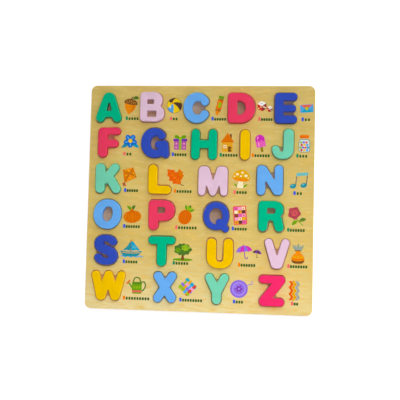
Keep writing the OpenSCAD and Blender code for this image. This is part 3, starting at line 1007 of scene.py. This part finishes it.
# sailing boat
p = picture("boat", -88.5, -70.0)
p.put("slate", ribbon([(-1.0, -6.0), (-1.0, 11.8)], 1.1, curve=False))
p.put("azure", ribbon([(-14.6, -9.6), (-12.2, -8.8), (-8.6, -10.4), (-4.8, -9.0), (-1.0, -10.4), (3.0, -9.0), (7.0, -10.4), (11.0, -9.0), (15.0, -10.2)], 1.3))
p.over()
p.put("teal", spline([(-14.6, -2.4), (-10.8, -9.0), (-2, -9.6), (7.6, -9.0), (14.0, -2.4), (6, -3.2), (-6, -3.2)]))
p.put("cyan", spline([(0.0, 11.4), (6.0, 5.0), (11.0, -1.6), (5.2, -1.1), (0.0, -1.3)], n=4))
p.put("teal", spline([(-2.0, 9.6), (-2.0, -1.3), (-6.6, -1.1), (-11.2, -1.5), (-5.6, 4.4)], n=4))
p.over()
p.put("gold", ribbon([(-12.4, -4.4), (-4, -5.0), (4, -5.0), (12.0, -4.4)], 0.9))
p.put("aqua", ribbon([(1.2, 4.4), (5.0, 4.2)], 0.9, curve=False))
p.put("aqua", ribbon([(1.2, 2.0), (6.8, 1.8)], 0.9, curve=False))
p.put("gold", [(-0.6, 12.6), (-0.6, 9.8), (3.4, 11.2)])

# tree
p = picture("tree", -20.0, -72.0)
p.put("green", ell(0, -10.0, 13.4, 1.9))
p.over()
p.put("brown", spline([(-1.8, -10.0), (-1.4, -3), (-3.4, 2), (0, 1), (3.4, 2), (1.4, -3), (2.0, -10.0)], n=4))
p.over()
p.put("forest", polar(0, 3.4, lambda a: (11.6 + 0.9 * math.cos(9 * a)) * (1 - 0.34 * abs(math.sin(a)) ** 1.2), 160))
p.over()
p.put("lime", polar(3.6, 5.4, lambda a: (5.4 + 0.6 * math.cos(7 * a)) * (1 - 0.30 * abs(math.sin(a))), 120))
p.put("green", polar(-6.2, 2.4, lambda a: (3.9 + 0.4 * math.cos(6 * a)) * (1 - 0.25 * abs(math.sin(a))), 100))
p.over()
for x, y in ((1.2, 5.6), (5.6, 6.6), (6.8, 3.8), (-6.8, 3.2), (-4.4, 1.4)):
    p.put("forest", ell(x, y, 0.8, 0.6, n=16))

# umbrellas
p = picture("umbrella", 67.0, -70.0)


def umbrella(x, y, size, turn, one, two, stick):
    p.set(67.0 + x, -70.0 + y, turn, size)
    p.level = 0
    p.put(stick, ribbon([(0, 9.6), (0, -4), (0, -7.4), (1.2, -9.0), (2.8, -8.4), (3.0, -6.8)], 1.0))
    p.over()
    rim = []
    for k in range(4):
        x0 = -10.6 + 5.3 * k
        rim += arc(x0 + 2.65, -0.6, 2.65, 180, 0, 8, 1.5)[:-1]
    dome = arc(0, -0.6, 10.6, 0, 180, 28, 9.2)
    p.put(one, rim + dome[:-1])
    p.over()
    for k in (0, 2):
        x0, x1 = -10.6 + 5.3 * k, -5.3 + 5.3 * k
        up = [(x1 * math.cos(math.radians(t)), -0.6 + 9.0 * math.sin(math.radians(t))) for t in range(0, 86, 6)]
        down = [(x0 * math.cos(math.radians(t)), -0.6 + 9.0 * math.sin(math.radians(t))) for t in range(84, -1, -6)]
        p.put(two, arc(x0 + 2.65, -0.6, 2.65, 180, 0, 8, 1.5) + up[1:] + down[:-1])


umbrella(-5.8, 0.0, 1.0, 8, "magenta", "violet", "plum")
umbrella(10.6, -1.6, 0.56, -10, "plum", "cocoa", "cocoa")

# vase
p = picture("vase", 130.5, -71.0)
for tip, base, w in (((-7.4, 12.6), (-1.2, 3.4), 3.0), ((7.4, 12.2), (1.2, 3.4), 3.0), ((0.4, 14.6), (0, 3.4), 3.2)):
    p.put("sage", leaf(base, tip, w))
p.over()
p.put("grey", leaf((-0.6, 4.0), (-3.8, 12.6), 2.2))
p.put("grey", leaf((0.6, 4.0), (4.2, 12.0), 2.2))
p.put("amber", spline([(-4.4, 4.8), (-2.8, 2.6), (-6.8, -1.6), (-8.6, -6.4), (-6.0, -11.2), (0, -12.0), (6.0, -11.2), (8.6, -6.4), (6.8, -1.6), (2.8, 2.6), (4.4, 4.8), (0, 5.4)]))
p.over()
p.put("brown", spline([(-8.3, -7.6), (-6.0, -11.2), (0, -12.0), (6.0, -11.2), (8.3, -7.6), (4.2, -8.6), (0, -8.9), (-4.2, -8.6)]))
p.put("brown", ribbon([(-4.0, 4.5), (0, 4.9), (4.0, 4.5)], 1.0))
for k in range(-2, 3):
    p.put("gold", ell(k * 2.9, -3.6, 1.0, 1.7, n=20))
p.put("orange", ribbon([(-7.4, -6.0), (0, -6.9), (7.4, -6.0)], 0.8))

# watering can
p = picture("can", -80.5, -118.0)
p.put("forest", ribbon([(5.6, 4.4), (10.6, 4.8), (11.8, -1.0), (8.6, -6.2), (6.0, -6.6)], 1.7))
p.put("forest", ribbon([(-4.6, 4.6), (-2.0, 10.2), (3.4, 10.0), (5.4, 4.8)], 1.6))
p.put("green", [(-5.0, -5.4), (-5.0, -1.4), (-10.4, 5.2), (-12.0, 4.0)])
p.over()
p.put("green", rrect(0.6, -2.8, 13.0, 15.6, 2.2))
p.put("orange", spline([(-13.6, 2.4), (-12.8, 1.6), (-8.4, 6.2), (-9.0, 7.2), (-11.6, 5.4)], n=4))
p.over()
p.put("coral", rrect(0.6, -7.6, 13.0, 2.6, 0.3))
p.put("forest", rrect(0.6, 3.2, 13.0, 1.4, 0.3))
for x in (-2.9, 0.6, 4.1):
    p.put("lime", ell(x, -2.0, 1.1, 2.0, n=20))

# woven strips
p = picture("weave", -12.5, -117.5, 45, 0.92)
across = ("red", "azure", "gold", "lime")
along = ("lime", "violet", "blush", "cyan")
for k in range(4):
    p.put(across[k], rrect(0, (k - 1.5) * 4.6, 20.0, 3.5, 0.6))
p.over()
for i in range(4):
    x = (i - 1.5) * 4.6
    p.put(along[i], rrect(x, 0, 3.5, 20.0, 0.6))
p.over()
for i in range(4):
    for j in range(4):
        if (i + j) % 2:
            p.put(across[j], rrect((i - 1.5) * 4.6, (j - 1.5) * 4.6, 4.3, 3.5, 0.1))

# yo-yo
p = picture("yoyo", 57.0, -118.0)
p.put("violet", ell(-2.0, 0, 11.6, n=64))
p.put("violet", ribbon([(8.8, 4.4), (11.8, 6.6), (14.0, 6.0), (15.2, 8.4), (14.6, 10.8)], 0.8))
p.over()
p.put("lilac", ell(-2.0, 0, 8.8, n=56))
p.over()
p.put("violet", ell(-2.0, 0, 7.4, n=56))
p.over()
p.put("plum", polar(-2.0, 0, lambda a: 3.6 + 1.3 * math.cos(6 * a), 120))
p.put("lilac", ribbon(arc(-2.0, 0, 5.8, 100, 165, 8), 0.9))
p.over()
p.put("lilac", ell(-2.0, 0, 1.3, n=24))

# zigzag
p = picture("zigzag", 126.5, -118.0)
for dx, colour in ((-4.1, "orange"), (0.0, "gold"), (4.1, "grey")):
    one = [(dx + (1.5 if k % 2 else -1.5), 12.4 - 4.13 * k) for k in range(7)]
    p.put(colour, [(x - 1.8, y) for x, y in one] + [(x + 1.8, y) for x, y in one[::-1]])
p.over()
for k in range(7):
    p.put("orange", ell(1.5 if k % 2 else -1.5, 12.4 - 4.13 * k, 0.7, n=12))

# rows of beads under the pictures
p = picture("beads", 0, 0)
ROWS = [
    (105.0, ((-102, -83.8, "green"), (-42, -31, "coral"), (14, 33.8, "blue"), (76, 95, "coral"), (132, 144, "blue"))),
    (57.0, ((-104, -92, "coral"), (-38, -18, "blue"), (26, 50, "green"), (68, 92, "orange"), (126, 141, "green"))),
    (8.0, ((-101, -82, "blue"), (-34, -10, "orange"), (45, 63, "coral"), (123, 135, "blue"))),
    (-40.0, ((-101, -78, "blue"), (-31, -2, "coral"), (44, 64, "blue"), (116, 139, "green"))),
    (-87.0, ((-100, -80, "blue"), (-33, -12, "green"), (53, 76, "orange"), (117, 143, "coral"))),
    (-135.0, ((-98.5, -62.5, "orange"), (-23, 7.5, "blue"), (47.5, 61, "blue"), (122.5, 132, "coral"))),
]
for y, row in ROWS:
    for x0, x1, colour in row:
        n = max(3, round((x1 - x0) / 3.45))
        gap = (x1 - x0) / n
        for k in range(n):
            x = x0 + gap * (k + 0.5)
            if k == 0:
                p.put("bead_" + colour, rrect(x - 0.1, y + 0.6, 3.1, 5.2, 1.2))
            else:
                p.put("bead_dark", rrect(x, y, 2.7, 3.8, 1.1))

for p in prints:
    p.build()

# ---------------------------------------------------------------- stage, light, camera


def floor():
    t = Tree("studio_floor", Specular_IOR_Level=0.1, Emission_Color=(1, 1, 1, 1), Emission_Strength=0.42)
    n = t.noise((0.004, 0.004, 0.004), 2.0)
    return t.done(t.mix(n, (0.93, 0.93, 0.93, 1), (0.96, 0.96, 0.96, 1)), t.span(n, 0.2, 0.8, 0.8, 0.9))


mesh = bpy.data.meshes.new("floor")
steps = [-4.0, -1.5, -0.5, 0.5, 1.5, 4.0]
mesh.from_pydata(
    [(x, y, -0.0002) for y in steps for x in steps], [],
    [(r * 6 + c, r * 6 + c + 1, r * 6 + c + 7, r * 6 + c + 6) for r in range(5) for c in range(5)],
)
mesh.materials.append(floor())
ground = bpy.data.objects.new("floor", mesh)
scene.collection.objects.link(ground)

world = bpy.data.worlds.new("studio")
scene.world = world
world.use_nodes = True
wn, wl = world.node_tree.nodes, world.node_tree.links
way = wn.new("ShaderNodeTexCoord")
split = wn.new("ShaderNodeSeparateXYZ")
wl.new(way.outputs["Generated"], split.inputs[0])


def ranged(value, a, b, low, high):
    n = wn.new("ShaderNodeMapRange")
    n.interpolation_type = "SMOOTHSTEP"
    for key, number in (("From Min", a), ("From Max", b), ("To Min", low), ("To Max", high)):
        n.inputs[key].default_value = number
    wl.new(value, n.inputs["Value"])
    return n.outputs[0]


def times(u, v):
    n = wn.new("ShaderNodeMath")
    n.operation = "MULTIPLY"
    wl.new(u, n.inputs[0])
    wl.new(v, n.inputs[1])
    return n.outputs[0]


# a soft band of light all round at about 30 degrees, strongest from +X and +Y, dim overhead
band = times(
    ranged(split.outputs["Z"], 0.05, 0.30, 0.2, 1.19),
    ranged(split.outputs["Z"], 0.48, 0.80, 1.0, 0.06),
)
sides = times(
    ranged(split.outputs["Y"], -0.8, 0.8, 0.88, 1.12),
    ranged(split.outputs["X"], -0.8, 0.8, 0.78, 1.22),
)
wl.new(times(band, sides), wn["Background"].inputs["Strength"])
wn["Background"].inputs["Color"].default_value = (0.985, 1.02, 0.99, 1)


def area_light(name, at, to, size, watts, colour=(1, 1, 1)):
    data = bpy.data.lights.new(name, "AREA")
    data.shape = "RECTANGLE"
    data.size, data.size_y = size
    data.energy = watts
    data.color = colour
    obj = bpy.data.objects.new(name, data)
    scene.collection.objects.link(obj)
    obj.location = at
    obj.rotation_mode = "QUATERNION"
    obj.rotation_quaternion = (Vector(to) - Vector(at)).to_track_quat("-Z", "Y")
    obj.visible_camera = False
    return obj


key = area_light("key", (0.40, 0.72, 1.28), (0.0, -0.34, 0), (0.7, 0.7), 1.05)
key.data.spread = math.radians(45)
area_light("overhead", (0.12, -0.15, 0.72), (0.02, -0.12, 0), (0.45, 0.30), 1.38, (1.05, 0.93, 1.03))

cam = bpy.data.cameras.new("camera")
cam.sensor_width = 36.0
cam.lens = 54.0
cam.clip_start, cam.clip_end = 0.01, 50.0
camera = bpy.data.objects.new("camera", cam)
scene.collection.objects.link(camera)
right = Vector((0.9954516, 0.0239090, -0.0922199))
down = Vector((0.0191944, -0.9984794, -0.0516759))
ahead = Vector((-0.0933152, 0.0496708, -0.9943968))
view = Matrix((right, -down, -ahead)).transposed().to_4x4()
view.translation = (0.07533, -0.04221, 0.79482)
camera.matrix_world = view
scene.camera = camera

scene.view_settings.view_transform = "Standard"
scene.view_settings.look = "None"

# ---------------------------------------------------------------- finish

bpy.context.view_layer.update()
